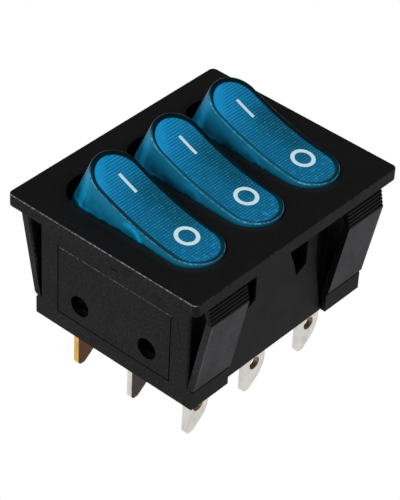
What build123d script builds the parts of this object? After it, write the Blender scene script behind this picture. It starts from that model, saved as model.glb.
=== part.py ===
"""Triple illuminated rocker switch for a panel cut-out, in millimetres.

The origin is the centre of the bezel's underside, where it seats on the panel.
+Z points out of the panel, X runs along the row of rockers and Y along each
rocker: its "I" end is towards +Y, and its "O" end, pressed at rest, towards -Y.
"""
from build123d import *
import math
import os

# --- Row of switch cells -------------------------------------------------------
CELL_NAMES = ("left", "middle", "right")
PITCH = 10.85                # between neighbouring rockers
ROCKER_TILT = 15.5           # of a rocker from level, at either end of its travel
LEVER_TILT = 7.75            # of the contact lever from level, at the same moments

# --- Housing moulding ------------------------------------------------------------
APERTURE_WIDTH = 8.3         # round-ended opening for one rocker
APERTURE_LENGTH = 23.5
SIDE_WALL = 1.3              # beside the outer wells
END_WALL = 0.75              # at the round ends of the wells
BEZEL_OVERHANG_X = 2.7
BEZEL_OVERHANG_Y = 3.0
BEZEL_THICKNESS = 1.7
BEZEL_CORNER = 0.8
BEZEL_EDGE = 0.1             # bevel of the top rim
BODY_DEPTH = 17.75
BODY_CORNER = 0.4
WELL_DEPTH = 6.6             # of the rocker well, below the seating plane
CHAMBER_LENGTH = 20.2        # of the contact chamber under a well
FLOOR_THICKNESS = 2.0
PIVOT_DEPTH = 2.0            # of the pivot axis, below the seating plane
CORE_HOLE_RADIUS = 1.5       # round holes low in the side walls
CORE_HOLE_SPACING = 11.3
CORE_HOLE_HEIGHT = 5.35      # centre above the bottom of the body
FIELD_LENGTH = 19.0          # plain field framed by a fine groove on one side wall
FIELD_HEIGHT = 10.6
FIELD_DROP = 4.8             # its top edge below the seating plane
FIELD_GROOVE = 0.16
BAND_DEPTH = 7.8             # thickened upper band of the end walls
BAND_PROUD = 0.12
POCKET_WIDTH = 3.3           # five-sided cored pockets in the end walls
POCKET_DEPTH = 1.0
POCKET_POINT = 0.85          # height of the pocket's pointed lower end
POCKET_SLANT = 4.1           # drop to where one side starts to slant to the point
POCKET_CORE_WIDTH = 2.15     # deeper part, beside the upright side
POCKET_CORE_DEPTH = 1.9
POCKET_OFFSETS = (-0.6, -1.7)  # from the middle of the left and right partitions
CHANNEL_WIDTH = 2.15         # tapered relief beside each snap wing
CHANNEL_DEPTH = 0.5

# --- Snap wings --------------------------------------------------------------------
WING_WIDTH = 6.8
FOOT_PROUD = 0.75            # foot block in front of the end wall
FOOT_HEIGHT = 2.9
FOOT_GROOVE = 0.3            # line between foot and plate
WING_ROOT = 1.0              # plate thickness just above the foot
WING_HEAD = 0.83             # plate thickness under the grip
WING_REACH = 3.25            # widest point, in front of the end wall
WING_TOP_GAP = 0.4           # wing tip to seating plane
WING_TIP = 0.5               # thickness of the tip
GRIP_HEIGHT = 2.5            # ridged face, from its widest point to the tip
GRIP_LEAN = 0.5              # setback of the tip from the widest point
GRIP_HOOK = 0.4              # inward swelling behind the grip
HOOK_START = 0.75            # where it begins and is widest, as shares of the grip
HOOK_CREST = 0.35
RIDGE_COUNT = 5
RIDGE_DEPTH = 0.2
RIDGE_FACE = 0.5             # face and groove floor, as shares of one ridge
RIDGE_FLOOR = 0.75

# --- Terminals -----------------------------------------------------------------------
STRIP = 0.8                  # thickness of blade and contact metal
BEND_RADIUS = 0.5            # inside of every bend
ROW_SPACING = 9.4            # between neighbouring terminals of a cell
BLADE_WIDTH = 4.1
BLADE_LENGTH = 8.85          # below the body
BLADE_NOSE = 1.2             # level part of the tip
BLADE_SLOPE = 38.0           # of the slanted part of the tip, from level
BLADE_HEEL = 4.0             # radius from the slanted part into the edge
BLADE_CORNER = 0.7           # rounding of the tip's corners
BLADE_HOLE_RADIUS = 0.9
BLADE_HOLE_HEIGHT = 3.95     # above the tip
SLOT_FIT = 0.05              # round a blade, in the floor
SHOULDER_WIDTH = 5.4         # terminal metal above the floor
SHELF_LENGTH = 3.9           # inner terminal shelf, from the middle of the blade

# --- Contact lever and buttons ---------------------------------------------------------
LEVER_WIDTH = 3.8
WAIST_WIDTH = 2.4            # between the ears of the common terminal
WAIST_LENGTH = 1.8
LEVER_ARM = 6.6              # fulcrum to contact button
LEVER_OVERRUN = 1.5          # metal beyond the middle of the button
LEVER_TAIL = 5.2             # fulcrum to the idle end
LEVER_CORNER = 0.75          # bevel of the lever's corners
CRADLE_GAP = 0.03            # lever to the narrowed top of the common terminal
CRADLE_EDGE = 0.24           # bevels that narrow it
EAR_HEIGHT = 1.5             # above the fulcrum
EAR_GAP = 0.1
EAR_EDGE = 0.4               # bevels of the ears' tips
BUTTON_RADIUS = 1.2          # welded contact buttons
BUTTON_HEIGHT = 0.5
CLOSED_GAP = 0.05            # left between the buttons when they meet

# --- Plunger and its spring --------------------------------------------------------------
TUBE_BORE = 1.6              # radius of the bore in the square guide tube
TUBE_WALL = 0.6
TUBE_END = 6.4               # below the pivot
TUBE_SEAT = 1.0              # spring seat, below the pivot
PLUNGER_FIT = 0.05
PLUNGER_WALL = 0.4
PLUNGER_FLOOR = 0.8
PLUNGER_LENGTH = 5.6         # cylindrical part
PLUNGER_NOSE = 2.3           # cylindrical part to tip
PLUNGER_TIP = 0.9            # radius of the rounded tongue's end
TONGUE_WIDTH = 2.2
PLUNGER_GAP = 0.08           # tip to lever
SPRING_WIRE = 0.34
SPRING_TURNS = 4.5
TURN_STEPS = 8               # straight lengths in one turn
SPRING_FIT = 0.1             # spring to plunger wall
SPRING_SEATING = 0.03        # at each end

# --- Rocker cap -------------------------------------------------------------------------
CAP_SIDE_GAP = 0.35          # skirt to aperture, each side
CAP_END_GAP = 0.55           # skirt edge to aperture, each end
CAP_DRAFT = 8.0              # inward lean of the round ends
CAP_SKIRT = 0.6              # skirt edge below the pivot
CAP_HEIGHT = 5.77            # pivot to the middle of the dished top
DISH_RADIUS = 39.0
CAP_WALL = 0.95
CAP_TOP = 1.2
CAP_EDGE = 0.2               # bevel of the rim
PIN_RADIUS = 1.2             # pivot pins
PIN_FIT = 0.05
PIN_REACH = 1.15             # into the housing wall
LUG_RADIUS = 1.7             # tapered tabs that carry the pins
LUG_FOOT = 1.0               # half width of a tab's lower end
LUG_PROUD = 0.2
RIB = 0.8
RIB_SHARES = (0.25, 0.75)    # where the ribs cross the lamp and the resistor
WIRE_WINDOW = 2.4            # gap between the two pivot webs

# --- Indicator lamp parts -----------------------------------------------------------------
LAMP_RADIUS = 1.5
LAMP_LENGTH = 5.4
LAMP_HEIGHT = 2.3            # lamp and resistor axis, above the pivot
LAMP_ROOM = 2.5              # outer end of the lamp to the skirt's edge
PINCH_LENGTH = 0.5           # flattened base of the lamp
PINCH_WIDTH = 2.4
PINCH_THICKNESS = 0.9
SADDLE_FIT = 0.05
RESISTOR_RADIUS = 1.1
RESISTOR_LENGTH = 5.0
LEAD_WIDTH = 0.5             # ribbon leads of the resistor
LEAD_STUB = 0.6              # outer lead, beyond the body
LINK_WIDTH = 1.0             # strips that join the lamp parts
LINK_STRIP = 0.3
LINK_DROP = 1.5              # link strip's upper face below the resistor axis
TAIL_Y = 0.95                # link strip's tail in the spring seat, from the tube's axis
CONTACT_SHIFT = 0.8          # lamp contact strip from the middle plane
CONTACT_DROP = 2.0           # its underside below the lamp axis
CONTACT_REACH = 7.7          # its end, from the pivot
LEAF_WIDTH = 1.6
LEAF_STRIP = 0.25
LEAF_GAP = 0.1               # leaf tip under the lamp contact
LEAF_PAD = 0.7               # half length of its level tip
LEAF_STAND = 0.7             # upright part of the leaf, beyond the flat shelf

# --- Derived sizes ---------------------------------------------------------------------------
BODY_LENGTH = 2 * PITCH + APERTURE_WIDTH + 2 * SIDE_WALL
BODY_WIDTH = APERTURE_LENGTH + 2 * END_WALL
BEZEL_LENGTH = BODY_LENGTH + 2 * BEZEL_OVERHANG_X
BEZEL_WIDTH = BODY_WIDTH + 2 * BEZEL_OVERHANG_Y
FLOOR_TOP = FLOOR_THICKNESS - BODY_DEPTH
SHELF_TOP = FLOOR_TOP + STRIP
BLADE_END = -BODY_DEPTH - BLADE_LENGTH
CAP_WIDTH = APERTURE_WIDTH - 2 * CAP_SIDE_GAP
CAP_LENGTH = APERTURE_LENGTH - 2 * CAP_END_GAP
LAMP_OFFSET = CAP_LENGTH / 2 - LAMP_ROOM - LAMP_LENGTH   # pivot to lamp and resistor
PLUNGER_RADIUS = TUBE_BORE - PLUNGER_FIT
SPRING_RADIUS = PLUNGER_RADIUS - PLUNGER_WALL - SPRING_FIT - SPRING_WIRE / 2


def polar(angle):
    """Cosine and sine of an angle in degrees."""
    return math.cos(math.radians(angle)), math.sin(math.radians(angle))


def solve_lever():
    """Fulcrum height, plunger reach, and the radius, slope and rise of the trough.

    The fulcrum height lets the buttons meet at the closed end of travel. The
    trough follows the ball tip at a constant gap: seen from the lever, the tip's
    middle and end positions lie on one circle. Each depends on the other, so
    they settle in a few rounds.
    """
    lever_c, lever_s = polar(LEVER_TILT)
    rocker_c, rocker_s = polar(ROCKER_TILT)
    arm_rise = STRIP
    for _ in range(30):
        fulcrum = (SHELF_TOP + BUTTON_HEIGHT + CLOSED_GAP
                   + (LEVER_ARM + BUTTON_RADIUS) * lever_s
                   - (arm_rise - BUTTON_HEIGHT) * lever_c)
        rest_height = STRIP + PLUNGER_GAP + PLUNGER_TIP
        swing = -PIVOT_DEPTH - fulcrum - rest_height
        end_y = swing * rocker_s
        end_z = -PIVOT_DEPTH - swing * rocker_c - fulcrum
        along = end_y * lever_c - end_z * lever_s
        rise = end_y * lever_s + end_z * lever_c - rest_height
        path_radius = (along ** 2 + rise ** 2) / (2 * rise)
        slope = math.degrees(math.asin(along / path_radius))
        under_radius = path_radius + rest_height
        slope_c, slope_s = polar(slope)
        bend_run = BEND_RADIUS * math.tan(math.radians(slope / 2))
        arm_rise = under_radius * (1 - slope_c) + 1.3 * bend_run * slope_s
    return fulcrum, swing + PLUNGER_TIP, under_radius, slope, arm_rise


FULCRUM, REACH, TROUGH_RADIUS, TROUGH_SLOPE, ARM_RISE = solve_lever()


# --- Helpers -----------------------------------------------------------------------------------
def cell_x(index):
    """X position of a cell's middle plane."""
    return (index - 1) * PITCH


def rocker_at_rest(shape, index):
    """Carry a shape from the rocker's own frame, pivot at the origin, to its place."""
    return Pos(cell_x(index), 0, -PIVOT_DEPTH) * Rot(ROCKER_TILT, 0, 0) * shape


def lever_at_rest(shape, index):
    """Carry a shape from the lever's own frame, fulcrum at the origin, to its place."""
    return Pos(cell_x(index), 0, FULCRUM) * Rot(-LEVER_TILT, 0, 0) * shape


def outline(points):
    """Flat face bounded by straight lines."""
    return make_face(Polyline(*points, close=True))


def plate_yz(face, width):
    """Extrude a (y, z) face equally to both sides along X."""
    return extrude(Plane.YZ * face, width / 2, both=True)


def plate_xz(face, thickness):
    """Extrude an (x, z) face equally to both sides along Y."""
    return extrude(Plane.XZ * face, thickness / 2, both=True)


def bent_strip(points, radii, thickness, width):
    """Sheet metal along (y, z) points, thickened to the left; no radii mean sharp folds."""
    line = FilletPolyline(*points, radius=radii) if radii else Polyline(*points)
    section = make_face(offset(line, thickness, side=Side.LEFT).edges())
    return plate_yz(section, width)


def rod_x(radius, length):
    """Cylinder along X, centred on the origin."""
    return Rot(0, 90, 0) * Cylinder(radius, length)


def rod_y(radius, length):
    """Cylinder along Y, centred on the origin."""
    return Rot(90, 0, 0) * Cylinder(radius, length)


def stadium(width, length):
    """Outline with straight sides and round ends, long along Y."""
    return SlotOverall(length, width, rotation=90)


# --- Housing -------------------------------------------------------------------------------------
def snap_wing():
    """One wing on the +Y end wall: foot, slanted plate and ridged grip."""
    wall = BODY_WIDTH / 2
    foot_top = FOOT_HEIGHT - BODY_DEPTH
    shoulder = -WING_TOP_GAP - GRIP_HEIGHT
    widest = wall + WING_REACH
    step = GRIP_HEIGHT / RIDGE_COUNT
    lean = GRIP_LEAN / RIDGE_COUNT
    points = [(wall - END_WALL / 2, -BODY_DEPTH), (wall + FOOT_PROUD, -BODY_DEPTH),
              (wall + FOOT_PROUD, foot_top - FOOT_GROOVE),
              (wall + FOOT_PROUD - FOOT_GROOVE, foot_top),
              (wall + WING_ROOT, foot_top + FOOT_GROOVE)]
    for ridge in range(RIDGE_COUNT):
        y = widest - ridge * lean
        z = shoulder + ridge * step
        points += [(y, z), (y - RIDGE_FACE * lean, z + RIDGE_FACE * step),
                   (y - RIDGE_FLOOR * lean - RIDGE_DEPTH, z + RIDGE_FLOOR * step)]
    tip = widest - GRIP_LEAN
    points += [(tip, -WING_TOP_GAP), (tip - WING_TIP / 2, -WING_TOP_GAP),
               (tip - WING_TIP, -WING_TOP_GAP - WING_TIP),
               (widest - WING_HEAD - GRIP_HOOK, -WING_TOP_GAP - HOOK_CREST * GRIP_HEIGHT),
               (widest - WING_HEAD, -WING_TOP_GAP - HOOK_START * GRIP_HEIGHT),
               (wall, foot_top + FOOT_GROOVE), (wall - END_WALL / 2, foot_top)]
    return plate_yz(outline(points), WING_WIDTH)


def end_wall_cuts():
    """Pointed pockets and wing reliefs for the +Y end wall, centred on its face."""
    half = POCKET_WIDTH / 2
    low = -BAND_DEPTH
    pocket = outline([(-half, 0), (half, 0), (half, low), (0, low - POCKET_POINT),
                      (-half, -POCKET_SLANT)])
    core = Pos(half - POCKET_CORE_WIDTH / 2, 0, low / 2) * Box(
        POCKET_CORE_WIDTH, 2 * POCKET_CORE_DEPTH, -low)
    cuts = []
    for side, shift in zip((-1, 1), POCKET_OFFSETS):
        place = Pos(side * PITCH / 2 + shift, 0, 0)
        cuts += [place * plate_xz(pocket, 2 * (POCKET_DEPTH + BAND_PROUD)), place * core]
    inner = BODY_LENGTH / 2 - WING_WIDTH
    relief = outline([(inner - CHANNEL_WIDTH, 0), (inner, 0), (inner, -BODY_DEPTH),
                      (inner - BAND_PROUD, -BODY_DEPTH), (inner - CHANNEL_WIDTH, low)])
    channel = plate_xz(relief, 2 * (CHANNEL_DEPTH + BAND_PROUD))
    return cuts + [channel, mirror(channel, Plane.YZ)]


def field_groove():
    """Fine rectangular line that frames the plain field on the -X wall."""
    ring = Rectangle(FIELD_LENGTH, FIELD_HEIGHT) - Rectangle(
        FIELD_LENGTH - 2 * FIELD_GROOVE, FIELD_HEIGHT - 2 * FIELD_GROOVE)
    centre = Pos(-BODY_LENGTH / 2, 0, -FIELD_DROP - FIELD_HEIGHT / 2)
    return centre * plate_yz(ring, 2 * FIELD_GROOVE)


def cell_cuts():
    """Well, chamber and three terminal slots of a cell in its own middle plane."""
    well = extrude(stadium(APERTURE_WIDTH, APERTURE_LENGTH), BEZEL_THICKNESS + WELL_DEPTH)
    height = -WELL_DEPTH - FLOOR_TOP
    chamber = Box(APERTURE_WIDTH, CHAMBER_LENGTH, height)
    slot = Box(BLADE_WIDTH + 2 * SLOT_FIT, STRIP + 2 * SLOT_FIT, 2 * FLOOR_THICKNESS)
    lead = BEND_RADIUS + SLOT_FIT
    lead_in = Box(BLADE_WIDTH + 2 * SLOT_FIT, lead, lead)
    cuts = [Pos(0, 0, -WELL_DEPTH) * well, Pos(0, 0, FLOOR_TOP + height / 2) * chamber]
    for row in (-1, 0, 1):
        cuts.append(Pos(0, row * ROW_SPACING, FLOOR_TOP - FLOOR_THICKNESS / 2) * slot)
    for row in (-1, 1):
        y = row * (ROW_SPACING - STRIP / 2 - lead / 2)
        cuts.append(Pos(0, y, FLOOR_TOP - lead / 2) * lead_in)
    return cuts


def housing():
    """One moulding: bezel, body with three wells and chambers, floor and wings."""
    bezel = extrude(RectangleRounded(BEZEL_LENGTH, BEZEL_WIDTH, BEZEL_CORNER),
                    BEZEL_THICKNESS)
    bezel = chamfer(bezel.edges().group_by(Axis.Z)[-1], BEZEL_EDGE)
    body = extrude(RectangleRounded(BODY_LENGTH, BODY_WIDTH, BODY_CORNER), -BODY_DEPTH)
    band = Pos(0, 0, -BAND_DEPTH / 2) * Box(
        BODY_LENGTH - 2 * WING_WIDTH, BODY_WIDTH + 2 * BAND_PROUD, BAND_DEPTH)
    shell = body + band
    wall_cuts = [Pos(0, BODY_WIDTH / 2, 0) * cut for cut in end_wall_cuts()]
    shell = shell - wall_cuts - [mirror(cut, Plane.XZ) for cut in wall_cuts]
    shell = shell - field_groove()
    wing = Pos((BODY_LENGTH - WING_WIDTH) / 2, 0, 0) * snap_wing()
    pair = [wing, mirror(wing, Plane.XZ)]
    shell = shell + bezel + pair + [mirror(shape, Plane.YZ) for shape in pair]
    cuts = [Pos(cell_x(index), 0, 0) * cut
            for index in range(len(CELL_NAMES)) for cut in cell_cuts()]
    cuts.append(Pos(0, 0, -PIVOT_DEPTH) * rod_x(PIN_RADIUS + PIN_FIT, BEZEL_LENGTH))
    hole = rod_x(CORE_HOLE_RADIUS, 3 * SIDE_WALL)
    for x in (-BODY_LENGTH / 2, BODY_LENGTH / 2):
        for y in (-CORE_HOLE_SPACING / 2, CORE_HOLE_SPACING / 2):
            cuts.append(Pos(x, y, CORE_HOLE_HEIGHT - BODY_DEPTH) * hole)
    return shell - cuts


# --- Terminals -------------------------------------------------------------------------------------
def blade():
    """Flat connector blade under the body, with a hole and a slanted tip."""
    half = BLADE_WIDTH / 2
    rise = (BLADE_WIDTH - BLADE_NOSE) * math.tan(math.radians(BLADE_SLOPE))
    face = outline([(-half, -BODY_DEPTH), (-half, BLADE_END),
                    (BLADE_NOSE - half, BLADE_END), (half, BLADE_END + rise),
                    (half, -BODY_DEPTH)])
    corner = min(BLADE_CORNER, 0.7 * BLADE_NOSE)
    face = fillet(face.vertices().sort_by(Axis.Y)[:2], corner)
    heel = face.vertices().sort_by(Axis.X)[-2:].sort_by(Axis.Y)[0]
    face = fillet(heel, BLADE_HEEL)
    plate = plate_xz(face, STRIP)
    return plate - Pos(0, 0, BLADE_END + BLADE_HOLE_HEIGHT) * rod_y(BLADE_HOLE_RADIUS, 2 * STRIP)


def shelf_terminal():
    """Outer terminal at the origin: a blade whose top is bent towards +Y, on the floor."""
    flat_start = STRIP / 2 + BEND_RADIUS
    leg = [(-STRIP / 2, -BODY_DEPTH), (-STRIP / 2, SHELF_TOP), (SHELF_LENGTH, SHELF_TOP)]
    angle = bent_strip(leg[::-1], BEND_RADIUS + STRIP, STRIP, BLADE_WIDTH)
    flat = SHELF_LENGTH - flat_start
    shelf = Pos(0, flat_start + flat / 2, SHELF_TOP - STRIP / 2) * Box(
        SHOULDER_WIDTH, flat, STRIP)
    return blade() + angle + shelf


def contact_y():
    """Distance from the middle plane to where the buttons meet."""
    c, s = polar(LEVER_TILT)
    return LEVER_ARM * c + (ARM_RISE - BUTTON_HEIGHT) * s


def line_terminal(index):
    """Terminal at the -Y end, which carries the fixed contact."""
    return Pos(cell_x(index), -ROW_SPACING, 0) * shelf_terminal()


def lamp_terminal(index):
    """Terminal at the +Y end, which feeds the indicator lamp."""
    return Pos(cell_x(index), ROW_SPACING, 0) * mirror(shelf_terminal(), Plane.XZ)


def common_terminal(index):
    """Middle terminal, whose top is a narrowed cradle between two ears."""
    cradle = FULCRUM - CRADLE_GAP
    stem = Pos(0, 0, (FLOOR_TOP - BODY_DEPTH) / 2) * Box(BLADE_WIDTH, STRIP, FLOOR_THICKNESS)
    post = Pos(0, 0, (FLOOR_TOP + cradle) / 2) * Box(
        SHOULDER_WIDTH, STRIP, cradle - FLOOR_TOP)
    ridge = [edge for edge in post.edges().group_by(Axis.Z)[-1] if edge.length > STRIP * 2]
    post = chamfer(ridge, CRADLE_EDGE)
    inner = WAIST_WIDTH / 2 + EAR_GAP
    ear_width = SHOULDER_WIDTH / 2 - inner
    top = FULCRUM + EAR_HEIGHT
    ear = Box(ear_width, STRIP, top - FLOOR_TOP)
    tips = ear.edges().filter_by(Axis.Y).group_by(Axis.Z)[-1]
    ear = Pos(inner + ear_width / 2, 0, (FLOOR_TOP + top) / 2) * chamfer(tips, EAR_EDGE)
    shape = blade() + stem + post + [ear, mirror(ear, Plane.YZ)]
    return Pos(cell_x(index), 0, 0) * shape


# --- Contact lever and buttons ------------------------------------------------------------------------
def contact_lever(index):
    """Lever with a curved trough for the plunger and a waist between the ears."""
    slope_c, slope_s = polar(TROUGH_SLOPE)
    apex = TROUGH_RADIUS * (1 - 1 / slope_c)
    knee = (ARM_RISE - apex) * slope_c / slope_s
    line = [(-LEVER_ARM - LEVER_OVERRUN, ARM_RISE), (-knee, ARM_RISE), (0, apex),
            (knee, ARM_RISE), (LEVER_TAIL, ARM_RISE)]
    lever = bent_strip(line, [BEND_RADIUS, TROUGH_RADIUS, BEND_RADIUS], STRIP, LEVER_WIDTH)
    notch = Box(LEVER_WIDTH - WAIST_WIDTH, WAIST_LENGTH, 4 * STRIP)
    for side in (-1, 1):
        lever = lever - Pos(side * LEVER_WIDTH / 2, 0, STRIP) * notch
    corners = [edge for edge in lever.edges().filter_by(Axis.Z)
               if abs(edge.center().Y) > knee]
    return lever_at_rest(chamfer(corners, LEVER_CORNER), index)


def contact_button():
    """Flat round contact, its face upwards at the origin."""
    return Pos(0, 0, -BUTTON_HEIGHT / 2) * Cylinder(BUTTON_RADIUS, BUTTON_HEIGHT)


def fixed_contact(index):
    """Contact button on the line terminal's shelf."""
    return Pos(cell_x(index), -contact_y(), SHELF_TOP + BUTTON_HEIGHT) * contact_button()


def lever_contact(index):
    """Contact button under the lever's long arm."""
    place = Pos(0, -LEVER_ARM, ARM_RISE - BUTTON_HEIGHT) * Rot(180, 0, 0)
    return lever_at_rest(place * contact_button(), index)


# --- Rocker, plunger and spring --------------------------------------------------------------------------
def cap_form(inset, bottom):
    """Solid with flat sides and leaning round ends, inset from the skirt's surface."""
    radius = CAP_WIDTH / 2 - inset
    c, s = polar(CAP_DRAFT)
    axis_y = CAP_LENGTH / 2 - CAP_WIDTH / 2 / c
    run = axis_y + CAP_WALL
    frame = Plane(origin=(0, axis_y, -CAP_SKIRT), x_dir=(1, 0, 0), z_dir=(0, -s, c))
    section = Circle(radius) + Pos(0, -run / 2) * Rectangle(2 * radius, run)
    half = extrude(frame * section, 2 * CAP_HEIGHT, both=True)
    slab = Box(2 * CAP_WIDTH, 2 * CAP_LENGTH, 3 * CAP_HEIGHT,
               align=(Align.CENTER, Align.CENTER, Align.MIN))
    return (half + mirror(half, Plane.XZ)) & Pos(0, 0, bottom) * slab


def dish(radius):
    """Drum along X that leaves the dished top, or with a larger radius its underside."""
    return Pos(0, 0, CAP_HEIGHT + DISH_RADIUS) * rod_x(radius, 3 * CAP_WIDTH)


def dish_height(y):
    """Height of the dished top above the pivot."""
    return CAP_HEIGHT + DISH_RADIUS - math.sqrt(DISH_RADIUS ** 2 - y ** 2)


def saddle_rib(y, radius):
    """Cross rib under the top plate, notched as a V over a round part."""
    top = dish_height(y) - CAP_TOP / 2
    half = (CAP_WIDTH - CAP_WALL) / 2
    mouth = (radius + SADDLE_FIT) * math.sqrt(2)
    profile = outline([(-half, LAMP_HEIGHT), (-mouth, LAMP_HEIGHT),
                       (0, LAMP_HEIGHT + mouth), (mouth, LAMP_HEIGHT),
                       (half, LAMP_HEIGHT), (half, top), (-half, top)])
    return Pos(0, y, 0) * plate_xz(profile, RIB)


def pivot_side():
    """Web, rounded tab and pin on the +X side of the cap."""
    reach = (CAP_WIDTH - CAP_WALL) / 2
    top = CAP_HEIGHT - CAP_TOP / 2
    web_width = reach - WIRE_WINDOW / 2
    web = Pos(reach - web_width / 2, 0, (top - CAP_SKIRT) / 2) * Box(
        web_width, RIB, top + CAP_SKIRT)
    face = CAP_WIDTH / 2 + LUG_PROUD
    tab_width = face - CAP_WIDTH / 2 + CAP_WALL
    profile = outline([(-LUG_RADIUS, LUG_RADIUS), (-LUG_RADIUS, -LUG_FOOT),
                       (-LUG_FOOT, -LUG_RADIUS), (LUG_FOOT, -LUG_RADIUS),
                       (LUG_RADIUS, -LUG_FOOT), (LUG_RADIUS, LUG_RADIUS)])
    tab = Pos(face - tab_width / 2, 0, 0) * plate_yz(profile, tab_width)
    pin_end = APERTURE_WIDTH / 2 + PIN_REACH
    pin = Pos((face + pin_end) / 2, 0, 0) * rod_x(PIN_RADIUS, pin_end - face)
    return [web, tab, pin]


def rocker(index):
    """Translucent cap: dished top, skirt, guide tube, saddles and pivot pins."""
    cap = cap_form(0, -CAP_SKIRT) - dish(DISH_RADIUS)
    rim = [edge for edge in cap.edges() if edge.center().Z > CAP_HEIGHT - CAP_EDGE]
    cap = chamfer(rim, CAP_EDGE)
    cap = cap - (cap_form(CAP_WALL, -CAP_SKIRT - CAP_WALL) - dish(DISH_RADIUS + CAP_TOP))
    tube_top = CAP_WALL - TUBE_SEAT
    tube_side = 2 * (TUBE_BORE + TUBE_WALL)
    tube = Pos(0, 0, (tube_top - TUBE_END) / 2) * Box(
        tube_side, tube_side, tube_top + TUBE_END)
    half = pivot_side()
    ribs = []
    for share in RIB_SHARES:
        ribs.append(saddle_rib(LAMP_OFFSET + share * LAMP_LENGTH, LAMP_RADIUS))
        ribs.append(saddle_rib(-LAMP_OFFSET - share * RESISTOR_LENGTH, RESISTOR_RADIUS))
    cap = cap + [tube] + half + [mirror(shape, Plane.YZ) for shape in half] + ribs
    bore = Pos(0, 0, -TUBE_SEAT - TUBE_END) * Cylinder(TUBE_BORE, 2 * TUBE_END)
    tail_slot = Pos(0, LINK_STRIP / 2 - TAIL_Y, tube_top) * Box(
        LINK_WIDTH + 2 * SADDLE_FIT, LINK_STRIP + 2 * SADDLE_FIT, 3 * TUBE_SEAT)
    return rocker_at_rest(cap - bore - tail_slot, index)


def plunger(index):
    """Hollow plunger with a round-ended tongue, sliding in the rocker's tube."""
    shoulder = PLUNGER_NOSE - REACH
    barrel = Pos(0, 0, shoulder + PLUNGER_LENGTH / 2) * Cylinder(
        PLUNGER_RADIUS, PLUNGER_LENGTH)
    cup = Pos(0, 0, shoulder + PLUNGER_FLOOR + PLUNGER_LENGTH / 2) * Cylinder(
        PLUNGER_RADIUS - PLUNGER_WALL, PLUNGER_LENGTH)
    end = PLUNGER_TIP - REACH
    root = shoulder + PLUNGER_FLOOR / 2
    tongue = Pos(0, end) * Circle(PLUNGER_TIP) + Pos(0, (end + root) / 2) * Rectangle(
        2 * PLUNGER_TIP, root - end)
    return rocker_at_rest(barrel - cup + plate_yz(tongue, TONGUE_WIDTH), index)


def plunger_spring(index):
    """Compression spring between the rocker's tube and the plunger's floor."""
    low = PLUNGER_NOSE + PLUNGER_FLOOR - REACH + SPRING_WIRE / 2 + SPRING_SEATING
    high = -TUBE_SEAT - SPRING_WIRE / 2 - SPRING_SEATING
    steps = round(SPRING_TURNS * TURN_STEPS)
    points = []
    for step in range(steps + 1):
        c, s = polar(360 * step / TURN_STEPS)
        points.append((SPRING_RADIUS * c, SPRING_RADIUS * s, low + (high - low) * step / steps))
    path = Polyline(*points)
    section = Plane(path @ 0, z_dir=path % 0) * Rectangle(SPRING_WIRE, SPRING_WIRE)
    return rocker_at_rest(sweep(section, path, transition=Transition.RIGHT), index)


# --- Indicator lamp parts -------------------------------------------------------------------------------
def lamp(index):
    """Neon lamp: glass tube with a flattened base towards the pivot."""
    tube = Pos(0, LAMP_OFFSET + LAMP_LENGTH / 2, LAMP_HEIGHT) * rod_y(
        LAMP_RADIUS, LAMP_LENGTH)
    pinch = Pos(0, LAMP_OFFSET, LAMP_HEIGHT) * Box(
        PINCH_WIDTH, 2 * PINCH_LENGTH, PINCH_THICKNESS)
    return rocker_at_rest(tube + pinch, index)


def lamp_contact(index):
    """Strip from the lamp's base, under the lamp, to where the leaf spring presses."""
    start = LAMP_OFFSET - PINCH_LENGTH - LINK_STRIP
    under = LAMP_HEIGHT - CONTACT_DROP
    line = [(start, LAMP_HEIGHT), (start, under), (CONTACT_REACH, under)]
    strip = bent_strip(line, None, LINK_STRIP, LINK_WIDTH)
    return rocker_at_rest(Pos(-CONTACT_SHIFT, 0, 0) * strip, index)


def resistor(index):
    """Series resistor, with a ribbon lead straight to the lamp's base."""
    body = Pos(0, -LAMP_OFFSET - RESISTOR_LENGTH / 2, LAMP_HEIGHT) * rod_y(
        RESISTOR_RADIUS, RESISTOR_LENGTH)
    far = -LAMP_OFFSET - RESISTOR_LENGTH - LEAD_STUB
    near = LAMP_OFFSET - PINCH_LENGTH
    ribbon = Pos(0, (far + near) / 2, LAMP_HEIGHT) * Box(LEAD_WIDTH, near - far, LINK_STRIP)
    return rocker_at_rest(body + ribbon, index)


def resistor_link(index):
    """Strip from the resistor's outer lead, under it, down to the plunger spring."""
    start = -LAMP_OFFSET - RESISTOR_LENGTH - LEAD_STUB - LINK_STRIP
    low = LAMP_HEIGHT - LINK_DROP - LINK_STRIP
    line = [(start, LAMP_HEIGHT + LINK_STRIP), (start, low), (-TAIL_Y, low),
            (-TAIL_Y, -TUBE_SEAT)]
    return rocker_at_rest(bent_strip(line, None, LINK_STRIP, LINK_WIDTH), index)


def lamp_leaf(index):
    """Leaf spring from the lamp terminal's shelf up to the lamp contact."""
    c, s = polar(ROCKER_TILT)
    under = LAMP_HEIGHT - CONTACT_DROP
    touch = CONTACT_REACH - LEAF_WIDTH / 2
    tip_y = touch * c - under * s
    tip_z = touch * s + under * c - PIVOT_DEPTH - LEAF_GAP - LEAF_STRIP
    foot_end = ROW_SPACING - SHELF_LENGTH
    foot_start = ROW_SPACING - STRIP / 2 - BEND_RADIUS
    stand = foot_start + LEAF_STAND
    line = [(foot_end, SHELF_TOP), (foot_start, SHELF_TOP),
            (stand, -WELL_DEPTH), (tip_y + LEAF_PAD, tip_z), (tip_y - LEAF_PAD, tip_z)]
    strip = bent_strip(line, None, LEAF_STRIP, LEAF_WIDTH)
    return Pos(cell_x(index) - CONTACT_SHIFT, 0, 0) * strip


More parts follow.
